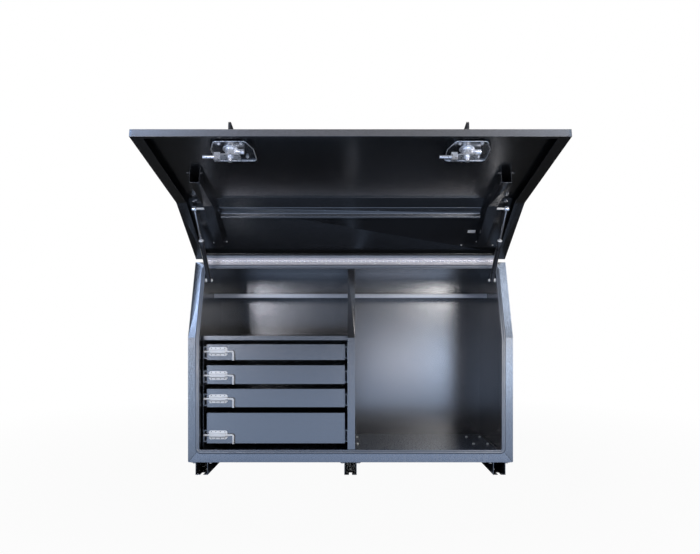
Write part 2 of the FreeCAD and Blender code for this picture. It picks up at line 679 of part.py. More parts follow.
def along_strut(shape):
    """Moves a shape built along +Z from the lower pivot to the strut's line on the left."""
    head = strut_head()
    tilt = math.degrees(math.atan2(STRUT_FOOT[0] - head[0], head[1] - STRUT_FOOT[1]))
    shape.rotate(vec(0, 0, 0), X_AXIS, tilt)
    shape.translate(vec(-STRUT_X, STRUT_FOOT[0], STRUT_FOOT[1]))
    return shape


def strut_eye(z):
    half = STRUT_EYE_WIDTH / 2
    return rod(STRUT_EYE_RADIUS, vec(-half, 0, z), X_AXIS, STRUT_EYE_WIDTH)


def struts():
    head = strut_head()
    length = math.hypot(head[0] - STRUT_FOOT[0], head[1] - STRUT_FOOT[1])
    body = rod(STRUT_TUBE_RADIUS, vec(0, 0, 0), Z_AXIS, STRUT_TUBE_LENGTH)
    collar = rod(STRUT_TUBE_RADIUS + STRUT_COLLAR_EXTRA,
                 vec(0, 0, STRUT_TUBE_LENGTH - STRUT_COLLAR_LENGTH), Z_AXIS, STRUT_COLLAR_LENGTH)
    half = STRUT_EYE_WIDTH / 2
    pivot = rod(STUD_RADIUS + STUD_CLEARANCE, vec(-half - 1, 0, 0), X_AXIS, STRUT_EYE_WIDTH + 2)
    flats = [block(side * half, side * (half + 9), -20, 20, -20, STRUT_EYE_RADIUS + 3) for side in (-1, 1)]
    bore = rod(STRUT_ROD_RADIUS + STUD_CLEARANCE, vec(0, 0, STRUT_TUBE_LENGTH - STRUT_TUBE_BORE),
               Z_AXIS, STRUT_TUBE_BORE)
    cylinder = join([body, collar, strut_eye(0)]).cut(flats + [pivot, bore])
    shank = rod(STRUT_ROD_RADIUS, vec(0, 0, STRUT_TUBE_LENGTH - STRUT_ROD_OVERLAP), Z_AXIS,
                length - STRUT_TUBE_LENGTH + STRUT_ROD_OVERLAP)
    piston_rod = join([shank, strut_eye(length)])
    for name, shape in (("strut_cylinder", cylinder), ("strut_rod", piston_rod)):
        left = along_strut(shape)
        save("left_" + name, left.copy())
        save("right_" + name, mirror(left))


def strut_studs():
    y, z = STRUT_FOOT
    outer = STRUT_X + STRUT_EYE_WIDTH / 2 + PIVOT_GAP
    inner = STRUT_X - STRUT_EYE_WIDTH / 2 - PIVOT_GAP
    shaft = rod(STUD_RADIUS, vec(inner - STUD_HEAD, y, z), X_AXIS, OPENING - SHEET - inner + STUD_HEAD)
    head = rod(STUD_HEAD_RADIUS, vec(inner - STUD_HEAD, y, z), X_AXIS, STUD_HEAD)
    shoulder = rod(STUD_SHOULDER_RADIUS, vec(outer, y, z), X_AXIS, OPENING - SHEET - outer)
    stud = join([shaft, head, shoulder])
    save("strut_studs_cabinet", group([stud, mirror(stud)]))
    y, z = slope_point(STRUT_HEAD_ALONG, -STRUT_HEAD_INSET)
    stub = rod(STUD_RADIUS, vec(CHANNEL_OUTER_X, y, z), X_AXIS, inner - CHANNEL_OUTER_X)
    base = rod(STUD_SHOULDER_RADIUS, vec(CHANNEL_OUTER_X, y, z), X_AXIS, STUD_HEAD)
    stud = join([stub, base])
    save("strut_studs_door", swing(group([stud, mirror(stud)])))


# ---- locks ------------------------------------------------------------------
def pan_outline(grow, y0, y1):
    """A block of the pan's outline, grown outwards. It narrows towards the door's free edge."""
    low, high = LOCK_Z - PAN_DOWN, LOCK_Z + PAN_UP + grow
    left, right = -PAN_LEFT - grow, PAN_RIGHT + grow
    points = [(left + PAN_NARROW, low - grow), (right - PAN_NARROW, low - grow),
              (right, low + PAN_TAPER), (right, high), (left, high), (left, low + PAN_TAPER)]
    solid = prism_y(points, y0, y1)
    corners = [e for e in solid.Edges if abs(e.tangentAt(e.FirstParameter).y) > 0.99]
    return solid.makeFillet(PAN_RADIUS + grow, corners)


def lock_pan():
    """Dish let into the door, its flange on the outer face and a short skirt behind its floor."""
    t = PAN_SHEET
    flange = pan_outline(PAN_FLANGE, -DOOR_FACE - t, -DOOR_FACE)
    dish = pan_outline(t, -DOOR_FACE - t, PAN_BACK + PAN_SKIRT)
    recess = pan_outline(0, -DOOR_FACE - t, PAN_FLOOR)
    hollow = pan_outline(0, PAN_BACK, PAN_BACK + PAN_SKIRT)
    hole = rod(SPINDLE_RADIUS + SPINDLE_CLEARANCE, vec(0, PAN_FLOOR, LOCK_Z), Y_AXIS, t)
    return join([flange, dish]).cut([recess, hollow, hole])


def hexagon_y(radius, x, z, y0, y1):
    """A hexagonal nut across Y."""
    points = [(x + radius * math.cos(math.radians(60 * i)), z + radius * math.sin(math.radians(60 * i)))
              for i in range(6)]
    return prism_y(points, y0, y1)


def pan_screws():
    """Four studs with nuts, one in each corner behind the pan's floor."""
    near, far = PAN_SCREW_NEAR, PAN_SCREW_FAR
    low, high = LOCK_Z - PAN_DOWN + near, LOCK_Z + PAN_UP - far
    places = [(-PAN_LEFT + PAN_NARROW + near, low), (PAN_RIGHT - PAN_NARROW - near, low),
              (PAN_RIGHT - far, high), (-PAN_LEFT + far, high)]
    nuts = [hexagon_y(PAN_NUT_RADIUS, x, z, PAN_BACK, PAN_BACK + PAN_NUT_HEIGHT) for x, z in places]
    studs = [rod(PAN_STUD_RADIUS, vec(x, PAN_BACK, z), Y_AXIS, PAN_STUD_LENGTH) for x, z in places]
    return [join([nut, stud]) for nut, stud in zip(nuts, studs)]


def lock_housing():
    start = vec(0, PAN_BACK, LOCK_Z)
    return tube(HOUSING_RADIUS, SPINDLE_RADIUS + SPINDLE_CLEARANCE, start, Y_AXIS, HOUSING_LENGTH)


def key_cylinder():
    body = rod(KEY_RADIUS, vec(0, PAN_BACK + KEY_DROP, LOCK_Z), X_AXIS, HOUSING_RADIUS + KEY_LENGTH)
    return body.cut(rod(HOUSING_RADIUS, vec(0, PAN_BACK, LOCK_Z), Y_AXIS, HOUSING_LENGTH))


def lock_cam():
    """Spindle with the handle's ears in front, and the cam, its block and its bar behind the housing."""
    pivot_y = -DOOR_FACE + HANDLE_PIVOT_DEPTH
    back = PAN_BACK + HOUSING_LENGTH + PIVOT_GAP
    ear_in = HANDLE_HUB_WIDTH / 2 + PIVOT_GAP
    ear_out = ear_in + EAR_THICKNESS
    neck = pivot_y + HANDLE_HUB_RADIUS + PIVOT_GAP
    tail = back + CAM_SHEET + CAM_NUT_LENGTH
    shaft = rod(SPINDLE_RADIUS, vec(0, neck, LOCK_Z), Y_AXIS, tail + SPINDLE_TAIL - neck)
    disc = rod(ear_out, vec(0, neck, LOCK_Z), Y_AXIS, EAR_DISC)
    pin_hole = rod(EAR_PIN_RADIUS + SPINDLE_CLEARANCE, vec(0, pivot_y, LOCK_Z - ear_out - 1), Z_AXIS,
                   2 * ear_out + 2)
    ears = [block(-EAR_HALF, EAR_HALF, pivot_y - EAR_HALF, neck + 1,
                  LOCK_Z + side * ear_in, LOCK_Z + side * ear_out) for side in (-1, 1)]
    plate = rounded_plate(-CAM_HALF_LENGTH, CAM_HALF_LENGTH, LOCK_Z - CAM_HALF_WIDTH,
                          LOCK_Z + CAM_HALF_WIDTH, CAM_CORNER, back, back + CAM_SHEET)
    clamp = block(-CAM_BLOCK_END, -CAM_BLOCK_START, back + CAM_SHEET / 2 - CAM_BLOCK_RISE,
                  back + CAM_SHEET / 2 + CAM_BLOCK_RISE, LOCK_Z - CAM_BLOCK_HALF, LOCK_Z + CAM_BLOCK_HALF)
    bar = rod(CAM_BAR_RADIUS, vec(-CAM_BAR_END, back + CAM_SHEET / 2, LOCK_Z), X_AXIS,
              CAM_BAR_END - CAM_BLOCK_START)
    nut = hexagon_y(CAM_NUT_RADIUS, 0, LOCK_Z, back + CAM_SHEET, tail)
    return join([shaft, disc, plate, clamp, bar, nut] + ears).cut(pin_hole)


def t_handle():
    """Folding T grip, standing straight out of the pan, with its pin along the door's length."""
    pivot_y = -DOOR_FACE + HANDLE_PIVOT_DEPTH
    half_t = HANDLE_THICKNESS / 2
    tip = pivot_y - HANDLE_LENGTH
    half_w = HANDLE_WIDTH / 2
    hub_half = HANDLE_HUB_WIDTH / 2
    hub = rod(HANDLE_HUB_RADIUS, vec(0, pivot_y, LOCK_Z - hub_half), Z_AXIS, HANDLE_HUB_WIDTH)
    pin_half = hub_half + PIVOT_GAP + EAR_THICKNESS
    pin = rod(EAR_PIN_RADIUS, vec(0, pivot_y, LOCK_Z - pin_half), Z_AXIS, 2 * pin_half)
    shoulder = tip + HANDLE_NECK + HANDLE_SLOT
    outline = [(pivot_y, LOCK_Z - hub_half), (shoulder + HANDLE_TAPER, LOCK_Z - hub_half),
               (shoulder, LOCK_Z - half_w), (tip, LOCK_Z - half_w),
               (tip, LOCK_Z + half_w), (shoulder, LOCK_Z + half_w),
               (shoulder + HANDLE_TAPER, LOCK_Z + hub_half), (pivot_y, LOCK_Z + hub_half)]
    plate = prism_x(outline, -half_t, half_t)
    ends = [e for e in plate.Edges
            if abs(e.tangentAt(e.FirstParameter).x) > 0.99 and abs(e.CenterOfMass.z - LOCK_Z) > half_w - 1]
    plate = plate.makeFillet(HANDLE_CORNER, ends)
    slot = block(-half_t, half_t, shoulder - HANDLE_SLOT, shoulder + 2,
                 LOCK_Z - half_w + HANDLE_NECK, LOCK_Z - hub_half)
    other = slot.mirror(vec(0, 0, LOCK_Z), Z_AXIS)
    return join([plate, hub, pin]).cut([slot, other])


def both_locks(shape):
    """The two locks are the same hand, so the pair is one shape at two places."""
    pair = [shape.copy(), shape.copy()]
    for piece, side in zip(pair, (-1, 1)):
        piece.translate(vec(side * LOCK_X - LOCK_OFFSET, 0, 0))
    return pair


def locks():
    save("lock_pans", swing(group(both_locks(lock_pan()))))
    save("pan_screws", swing(group([screw for piece in pan_screws() for screw in both_locks(piece)])))
    save("lock_housings", swing(group(both_locks(lock_housing()))))
    save("key_cylinders", swing(group(both_locks(key_cylinder()))))
    for name, shape in (("lock_cam", lock_cam()), ("t_handle", t_handle())):
        left, right = both_locks(shape)
        save("left_" + name, swing(left))
        save("right_" + name, swing(right))


def main():
    os.makedirs("parts", exist_ok=True)
    body_shell()
    front_frame()
    door_seal()
    feet()
    divider()
    drawer_bay()
    rear_shelf()
    drawers()
    door_panel()
    door_stiffeners()
    piano_hinge()
    struts()
    strut_studs()
    locks()


main()
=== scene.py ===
"""Looks of the steel tool box: finishes, small hardware, floor, lamps and camera around the frame."""

import json
import math

import bmesh
import bpy
from mathutils import Matrix, Vector

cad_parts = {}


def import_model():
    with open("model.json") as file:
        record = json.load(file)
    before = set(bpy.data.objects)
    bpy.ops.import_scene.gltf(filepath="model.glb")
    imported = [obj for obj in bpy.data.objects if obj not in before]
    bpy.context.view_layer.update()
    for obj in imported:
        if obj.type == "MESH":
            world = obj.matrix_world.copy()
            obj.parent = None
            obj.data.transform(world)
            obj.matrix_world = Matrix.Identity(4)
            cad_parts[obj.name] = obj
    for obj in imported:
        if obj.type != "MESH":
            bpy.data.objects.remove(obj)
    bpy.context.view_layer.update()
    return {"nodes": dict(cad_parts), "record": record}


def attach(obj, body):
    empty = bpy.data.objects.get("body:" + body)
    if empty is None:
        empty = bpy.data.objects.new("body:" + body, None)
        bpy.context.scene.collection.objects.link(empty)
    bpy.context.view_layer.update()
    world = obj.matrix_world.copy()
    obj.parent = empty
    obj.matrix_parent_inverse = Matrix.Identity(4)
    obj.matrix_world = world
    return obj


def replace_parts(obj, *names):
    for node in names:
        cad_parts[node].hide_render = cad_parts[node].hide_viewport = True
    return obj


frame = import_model()
nodes = frame["nodes"]

# ---- sizes in millimetres, OPEN_ANGLE in degrees, named as in the CAD --------
WIDTH = 1200.0
HEIGHT = 750.0
DEPTH = 560.0
FRONT_HEIGHT = 460.0
SLOPE_RUN = 108.0
SHEET = 2.0
JAMB_WIDTH = 40.0
SILL_HEIGHT = 46.0
HEADER_WIDTH = 26.0
SEAL_RADIUS = 6.0
FOOT_HEIGHT = 48.0
DIVIDER_X = -8.3
SHELF_DEPTH = 150.0
SHELF_DROP = 106.0
SHELF_LIP = 19.0
DRAWER_BOTTOMS = {"top_drawer": 375.4, "upper_drawer": 285.2, "lower_drawer": 197.9, "deep_drawer": 61.8}
DRAWER_INSET = 19.0
DRAWER_FACE = 43.0
BOLT_RISE = 32.0
BOLT_CASE_INSET = 8.0
BOLT_CASE_LENGTH = 70.0
BOLT_CASE_SHEET = 1.5
OPEN_ANGLE = 101.6
DOOR_SHEET = 1.6
DOOR_DEPTH = 22.0
DOOR_BOTTOM = 14.0
HINGE_END_GAP = 7.5
HINGE_RADIUS = 4.5
HINGE_LEAF = 16.0
HINGE_SHEET = 1.5
HINGE_LEAF_GAP = 0.5
HINGE_RISE = 5.5
CHANNEL_SHEET = 1.5
RAIL_FROM_BEND = 80.0
RAIL_LEG = 28.0
STRUT_INSET = 17.0
STRUT_TUBE_LENGTH = 185.0
STRUT_FOOT_DROP = 71.0
STRUT_FOOT_SETBACK = 12.5
STRUT_HEAD_FROM_BEND = 33.4
STRUT_HEAD_INSET = 8.0
LOCK_INSET = 265.0
LOCK_RISE = 85.0
PAN_DEPTH = 12.0
PAN_SHEET = 1.5
PAN_LEFT = 55.0
PAN_RIGHT = 65.0
PAN_DOWN = 48.0
PAN_UP = 66.0
PAN_NARROW = 17.0
PAN_TAPER = 45.0
PAN_RADIUS = 12.0
PAN_SKIRT = 2.5
HOUSING_RADIUS = 15.0
HOUSING_LENGTH = 22.0

SLOPE = math.atan2(SLOPE_RUN, HEIGHT - FRONT_HEIGHT)
HALF = WIDTH / 2
OPENING = HALF - JAMB_WIDTH
HEADER_LOW = HEIGHT - HEADER_WIDTH * math.cos(SLOPE)
DOOR_GAP = 2 * HINGE_SHEET + HINGE_LEAF_GAP
DOOR_FACE = DOOR_GAP + DOOR_DEPTH
DOOR_INSIDE = DOOR_FACE - DOOR_SHEET
SHELF_TOP = HEIGHT - SHELF_DROP
SHELF_FRONT = DEPTH - SHEET - SHELF_DEPTH
DRAWER_LEFT = -OPENING + DRAWER_INSET
BOLT_CASE_LEFT = DRAWER_LEFT + BOLT_CASE_INSET
HINGE_HALF = OPENING - HINGE_END_GAP
HINGE_Y = SLOPE_RUN + HINGE_RISE * math.sin(SLOPE) - DOOR_GAP / 2 * math.cos(SLOPE)
HINGE_Z = HEIGHT + HINGE_RISE * math.cos(SLOPE) + DOOR_GAP / 2 * math.sin(SLOPE)
RAIL_LOW = FRONT_HEIGHT + RAIL_FROM_BEND * math.cos(SLOPE)
LOCK_X = HALF - LOCK_INSET
LOCK_OFFSET = (PAN_RIGHT - PAN_LEFT) / 2
LOCK_PLACES = (-LOCK_X - LOCK_OFFSET, LOCK_X - LOCK_OFFSET)
LOCK_Z = DOOR_BOTTOM + LOCK_RISE
PAN_BACK = PAN_DEPTH - DOOR_FACE + PAN_SHEET

# ---- sizes in millimetres of what is only here -------------------------------
HINGE_PITCH = 17.0
KNUCKLE_GAP = 3.0
KNUCKLE_BORE = 2.0
KNUCKLE_ROUND = 1.8
KNUCKLE_WEB = 1.5
LEAF_RIVET_PITCH = 95.0
LEAF_RIVET_PLACE = 11.0
SEAL_OVERLAP = 2.0
SEAL_CORNER_STEPS = 6
HEM_PROUD = 1.3
HEM_END_GAP = 1.0
WELD_START = (HALF - 3.0, 3.0)
CONTACT_NEAR = HINGE_LEAF + 0.6
CONTACT_FAR = HINGE_LEAF + 13.0
CONTACT_PROUD = 0.35
LIP_HALF = 590.0
LIP_INNER = DOOR_GAP + 1.1
LIP_OUTER = DOOR_FACE - 1.0
PLATE_ENDS = (432.0, 480.0)
PLATE_LOW = 620.0
PLATE_HIGH = 634.0
PLATE_SHEET = 0.5
RAIL_RIVET_FIRST = -466.0
RAIL_RIVET_PITCH = 188.0
RAIL_RIVET_COUNT = 6
BRIGHT_RIVETS = ((-515, 687), (-466, 681), (420, 700), (475, 681), (540, 700))
CASE_SCREW_SHARES = (0.14, 0.38, 0.62, 0.86)
CASE_SCREW_ROW = 12.3
NUT_START = 7.5
NUT_LENGTH = 4.8
NUT_RADIUS = 5.2
SLEEVE_BORE = 8.6
SLEEVE_RADIUS = 10.1
SLEEVE_LENGTH = 26.0


# ---- places ------------------------------------------------------------------
def at(x, y, z):
    """A point of the CAD's working frame, in metres in the scene's frame."""
    return Vector((x, y - DEPTH / 2, z + FOOT_HEIGHT)) / 1000


def front_y(offset, z):
    """How far back the body's front profile lies at a height, moved forwards by offset."""
    if z <= FRONT_HEIGHT + offset * math.tan(SLOPE / 2):
        return -offset
    return (z - FRONT_HEIGHT) * math.tan(SLOPE) - offset / math.cos(SLOPE)


def slope_at(x, along, inward):
    """A point from the hinge axis: down the slope, and inwards from the hinge's plane."""
    return at(x, HINGE_Y - along * math.sin(SLOPE) + inward * math.cos(SLOPE),
              HINGE_Z - along * math.cos(SLOPE) - inward * math.sin(SLOPE))


HINGE = slope_at(0, 0, 0)
SWING = (Matrix.Translation(HINGE) @ Matrix.Rotation(-math.radians(OPEN_ANGLE), 4, "X")
         @ Matrix.Translation(-HINGE))
SLOPE_OUT = Vector((0, -math.cos(SLOPE), math.sin(SLOPE)))
FRONT_OUT = Vector((0, -1, 0))
BACKWARDS = Vector((0, 1, 0))
SIDEWAYS = Vector((1, 0, 0))


# ---- shader trees ------------------------------------------------------------
class Tree:
    """A shader tree, whose nodes are added with their values."""

    def __init__(self, owner):
        owner.use_nodes = True
        self.tree = owner.node_tree

    def set(self, node, values):
        for key, value in values.items():
            node.inputs[key].default_value = value

    def node(self, kind, values=None, **facts):
        made = self.tree.nodes.new(kind)
        for key, value in facts.items():
            setattr(made, key, value)
        self.set(made, values or {})
        return made

    def link(self, out, socket):
        self.tree.links.new(out, socket)

    def ramp(self, fac, low, high, a=0.3, b=0.7):
        """Maps a factor between a and b to a range of values."""
        made = self.node("ShaderNodeMapRange", {"From Min": a, "From Max": b, "To Min": low, "To Max": high})
        self.link(fac, made.inputs["Value"])
        return made.outputs["Result"]

    def times(self, first, second):
        made = self.node("ShaderNodeMath", operation="MULTIPLY")
        self.link(first, made.inputs[0])
        self.link(second, made.inputs[1])
        return made.outputs[0]

    def mixed(self, fac, first, second):
        """Two shaders mixed: the first where the factor is 0, the second where it is 1."""
        made = self.node("ShaderNodeMixShader")
        for k, out in enumerate((fac, first, second)):
            self.link(out, made.inputs[k])
        return made.outputs[0]


class Graph(Tree):
    """A material around a Principled shader."""

    def __init__(self, name, color, roughness, metallic=0.0, specular=0.5):
        self.mat = bpy.data.materials.new(name)
        super().__init__(self.mat)
        self.bsdf = self.tree.nodes["Principled BSDF"]
        self.set(self.bsdf, {"Base Color": (*color, 1), "Roughness": roughness,
                             "Metallic": metallic, "Specular IOR Level": specular})
        self.place = self.node("ShaderNodeTexCoord").outputs["Object"]

    def stretched(self, scale):
        mapping = self.node("ShaderNodeMapping", {"Scale": scale})
        self.link(self.place, mapping.inputs["Vector"])
        return mapping.outputs["Vector"]

    def noise(self, scale, detail=3.0, roughness=0.5, place=None):
        made = self.node("ShaderNodeTexNoise", {"Scale": scale, "Detail": detail, "Roughness": roughness})
        self.link(place or self.place, made.inputs["Vector"])
        return made.outputs["Fac"]

    def color_from(self, fac, first, second):
        made = self.node("ShaderNodeMix", data_type="RGBA")
        made.inputs[6].default_value = (*first, 1)
        made.inputs[7].default_value = (*second, 1)
        self.link(fac, made.inputs[0])
        self.link(made.outputs[2], self.bsdf.inputs["Base Color"])

    def rough_from(self, fac, low, high):
        self.link(self.ramp(fac, low, high), self.bsdf.inputs["Roughness"])

    def bump(self, height, strength, distance):
        made = self.node("ShaderNodeBump", {"Strength": strength, "Distance": distance})
        self.link(height, made.inputs["Height"])
        self.link(made.outputs["Normal"], self.bsdf.inputs["Normal"])


# ---- materials ---------------------------------------------------------------
def powder_coat(name, low, high, rough=(0.19, 0.265), specular=1.0):
    """Textured powder coat: fine pebbles that differ a little in tone and gloss."""
    g = Graph(name, low, 0.25, specular=specular)
    g.set(g.bsdf, {"IOR": 1.1 + specular})
    pebble = g.node("ShaderNodeTexVoronoi", {"Scale": 210.0, "Smoothness": 0.3}, feature="SMOOTH_F1")
    g.link(g.place, pebble.inputs["Vector"])
    speck = g.ramp(pebble.outputs["Distance"], 0.0, 1.0, 0.1, 0.7)
    g.color_from(speck, low, high)
    g.rough_from(speck, *rough)
    g.bump(g.noise(170.0, 2.0), 0.1, 0.0006)
    return g.mat


def rubber(name):
    """Smooth extruded seal with a dull skin, lighter and bluer than black rubber as a painted sheen of the
    front light.
    """
    g = Graph(name, (0.05, 0.065, 0.09), 0.42, specular=0.9)
    g.set(g.bsdf, {"IOR": 1.9})
    g.color_from(g.noise(120.0, 4.0), (0.04, 0.052, 0.075), (0.07, 0.09, 0.12))
    g.rough_from(g.noise(45.0), 0.38, 0.48)
    g.bump(g.noise(200.0, 2.0), 0.1, 0.0003)
    return g.mat


def plated(name, color, roughness, scale, bump=0.10, tint=0.85, metallic=1.0):
    """Zinc or chrome plating: uneven gloss and a faint cloudy tint."""
    g = Graph(name, color, roughness, metallic=metallic)
    cloud = g.noise(scale, 5.0, 0.6)
    dull = tuple(c * tint for c in color)
    g.color_from(g.ramp(cloud, 0.0, 1.0), dull, color)
    g.rough_from(g.noise(scale * 2.3, 4.0), roughness * 0.75, roughness * 1.3)
    g.bump(g.noise(scale * 12), bump, 0.0004)
    return g.mat


def drawn(name, color, roughness, stretch, metallic=1.0):
    """Rolled steel with fine lines along its length."""
    g = Graph(name, color, roughness, metallic=metallic)
    lines = g.noise(6.0, 6.0, 0.65, g.stretched(stretch))
    dull = tuple(c * 0.8 for c in color)
    g.color_from(g.ramp(lines, 0.0, 1.0), dull, color)
    g.rough_from(lines, roughness * 0.8, roughness * 1.3)
    g.bump(lines, 0.12, 0.0004)
    return g.mat


def painted(name, color, roughness):
    """Smooth black paint with a trace of orange peel and dust."""
    g = Graph(name, color, roughness)
    g.color_from(g.noise(60.0, 5.0), color, tuple(c * 1.9 for c in color))
    g.rough_from(g.noise(35.0), roughness * 0.85, roughness * 1.25)
    g.bump(g.noise(420.0, 2.0), 0.08, 0.0004)
    return g.mat


BLACK = (0.003, 0.0032, 0.004)
MATERIALS = {
    "black_powder_coat": powder_coat("black_powder_coat", BLACK, (0.016, 0.0165, 0.018)),
    "seal_rubber": rubber("seal_rubber"),
    "zinc_rail": drawn("zinc_rail", (0.5, 0.52, 0.55), 0.34, (40, 1, 40)),
    "zinc_hardware": plated("zinc_hardware", (0.99, 0.99, 0.97), 0.5, 40.0, tint=0.95, metallic=0.12),
    "hinge_steel": drawn("hinge_steel", (0.98, 0.94, 0.95), 0.36, (1, 60, 60), metallic=0.6),
    "strut_black": painted("strut_black", (0.02, 0.02, 0.022), 0.3),
    "strut_chrome": plated("strut_chrome", (0.85, 0.86, 0.88), 0.2, 30.0, bump=0.02, metallic=0.85),
    "lock_zinc": plated("lock_zinc", (0.94, 0.95, 0.97), 0.3, 60.0, metallic=0.7),
    "lock_black": painted("lock_black", (0.025, 0.025, 0.027), 0.36)}

# Other states of the black powder coat: a pale bluish painted highlight, a worn smooth grey, a bluish
# painted reflection, and a darker, less glossy painted shade.
PAINTED_HIGHLIGHT_COAT = powder_coat("painted_highlight_powder_coat", (0.3, 0.34, 0.42), (0.42, 0.46, 0.54), (0.3, 0.42))
WORN_COAT = powder_coat("worn_powder_coat", (0.115, 0.113, 0.113), (0.15, 0.147, 0.148),
                        (0.32, 0.42), specular=0.7)
# The sill and the bay's floor in a paler bluish coat: a painted reflection of the front light.
PAINTED_REFLECTION_COAT = powder_coat("painted_reflection_powder_coat", (0.05, 0.07, 0.11), (0.09, 0.115, 0.16), (0.2, 0.32))
# Painted shade: a darker, less glossy copy of the same coat on the door, the top and the sides, which lie in
# shade.
PAINTED_SHADE_COAT = powder_coat("painted_shade_powder_coat", BLACK, (0.014, 0.0145, 0.016), specular=0.7)
PAINTED_REFLECTION_NODES = ("sill", "floor_panel")
PAINTED_SHADE_NODES = ("door_panel", "top_panel", "left_side", "right_side", "door_channel_left",
              "door_channel_right")


# ---- frame nodes: finish and softened edges ----------------------------------
def node_finish(name, slot):
    if name in PAINTED_REFLECTION_NODES:
        return PAINTED_REFLECTION_COAT
    if name in PAINTED_SHADE_NODES:
        return PAINTED_SHADE_COAT
    return MATERIALS[slot]


def edge_softness(name):
    """Width of a node's bevels in metres: narrow on round bars and rails, wide on large folded sheet."""
    if name.endswith(("_bolt", "_rod", "_cylinder", "_rails")) or name in ("hinge_pin", "foot_bolts"):
        return 0.0003
    if name.startswith("foot") or name.endswith(("_side", "_jamb", "_shelf", "_rail")):
        return 0.0011
    if name in ("divider", "sill", "header", "door_panel", "drawer_bay_top"):
        return 0.0009
    return 0.0006


FINE_BEVEL = 0.0002


def soften(obj, width):
    """Bevels an object's sharp edges by a width in metres, once its doubled corners are joined."""
    weld = obj.modifiers.new("weld", "WELD")
    weld.merge_threshold = 0.00002
    bevel = obj.modifiers.new("edges", "BEVEL")
    bevel.width = width
    bevel.segments = 2
    bevel.limit_method = "ANGLE"
    bevel.angle_limit = math.radians(35)
    bevel.harden_normals = True


def finish_nodes():
    for row in frame["record"]["subparts"]:
        obj = nodes[row["node"]]
        obj.data.materials.clear()
        obj.data.materials.append(node_finish(obj.name, row["material_slot"]))
        soften(obj, edge_softness(obj.name))


# ---- mesh helpers ------------------------------------------------------------
def bridge(bm, low, high):
    """Faces between two rings of corners, either of which may be a single point."""
    count = max(len(low), len(high))
    for k in range(count):
        n = (k + 1) % count
        corners = [low[k % len(low)], low[n % len(low)], high[n % len(high)], high[k % len(high)]]
        bm.faces.new(list(dict.fromkeys(corners)))


def lathe(bm, profile, place, axis, segments=16, tube=False):
    """Turns (radius, height) points, in millimetres, about an axis. A tube's profile closes on itself."""
    spin = axis.to_track_quat("Z", "Y").to_matrix()
    rings = []
    for radius, height in profile:
        if radius == 0:
            rings.append([bm.verts.new(place + spin @ Vector((0, 0, height)) / 1000)])
            continue
        angles = [2 * math.pi * k / segments for k in range(segments)]
        points = [Vector((radius * math.cos(t), radius * math.sin(t), height)) for t in angles]
        rings.append([bm.verts.new(place + spin @ p / 1000) for p in points])
    if tube:
        rings.append(rings[0])
    for low, high in zip(rings, rings[1:]):
        bridge(bm, low, high)
    for ring in (rings[0], rings[-1]):
        if len(ring) > 2 and not tube:
            bm.faces.new(ring)


def hoop(bm, outlines):
    """A closed hoop through outlines of as many points, the last one joined to the first."""
    rings = [[bm.verts.new(point) for point in outline] for outline in outlines]
    for low, high in zip(rings, rings[1:] + rings[:1]):
        bridge(bm, low, high)


def bar(bm, outlines):
    """A straight bar between two end outlines."""
    ends = [[bm.verts.new(point) for point in outline] for outline in outlines]
    bridge(bm, *ends)
    for end in ends:
        bm.faces.new(end)


def brick(bm, corners):
    """A six-sided solid from its four lower and four upper corners."""
    v = [bm.verts.new(c) for c in corners]
    for face in ((3, 2, 1, 0), (4, 5, 6, 7), (0, 1, 5, 4), (1, 2, 6, 5), (2, 3, 7, 6), (3, 0, 4, 7)):
        bm.faces.new([v[k] for k in face])


def rivet(bm, place, axis, radius, height):
    """Domed head with a flat rim, sunk a little into what it holds."""
    lathe(bm, [(radius, -0.3), (radius, 0.15 * height), (0.86 * radius, 0.5 * height),
               (0.55 * radius, 0.86 * height), (0, height)], place, axis)


def piece(name, bm, body, material, bevel=0.0, angle=35, finish=None):
    """Makes a piece that rides on a body, in its slot's finish or its own.

    What rides on the door is shaped with the door shut, and swung open here.
    """
    if body == "door":
        bm.transform(SWING)
    bmesh.ops.recalc_face_normals(bm, faces=bm.faces)
    mesh = bpy.data.meshes.new(name)
    bm.to_mesh(mesh)
    bm.free()
    mesh.materials.append(finish or MATERIALS[material])
    mesh.shade_smooth()
    mesh.set_sharp_from_angle(angle=math.radians(angle))
    obj = bpy.data.objects.new(name, mesh)
    bpy.context.collection.objects.link(obj)
    if bevel:
        soften(obj, bevel)
    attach(obj, body)
    return obj


# ---- piano hinge -------------------------------------------------------------
def hinge_brick(bm, x0, x1, a0, a1, near, far):
    brick(bm, [slope_at(x, a, n) for n in (near, far) for x, a in ((x0, a0), (x1, a0), (x1, a1), (x0, a1))])


def knuckle(bm, x0, x1):
    """One rolled knuckle, its ends a little rounded, hollow where the pin goes."""
    r, length = HINGE_RADIUS, x1 - x0
    profile = [(KNUCKLE_BORE, 0), (r - KNUCKLE_ROUND, 0), (r, KNUCKLE_ROUND), (r, length - KNUCKLE_ROUND),
               (r - KNUCKLE_ROUND, length), (KNUCKLE_BORE, length)]
    lathe(bm, profile, slope_at(x0, 0, 0), SIDEWAYS, 20, tube=True)


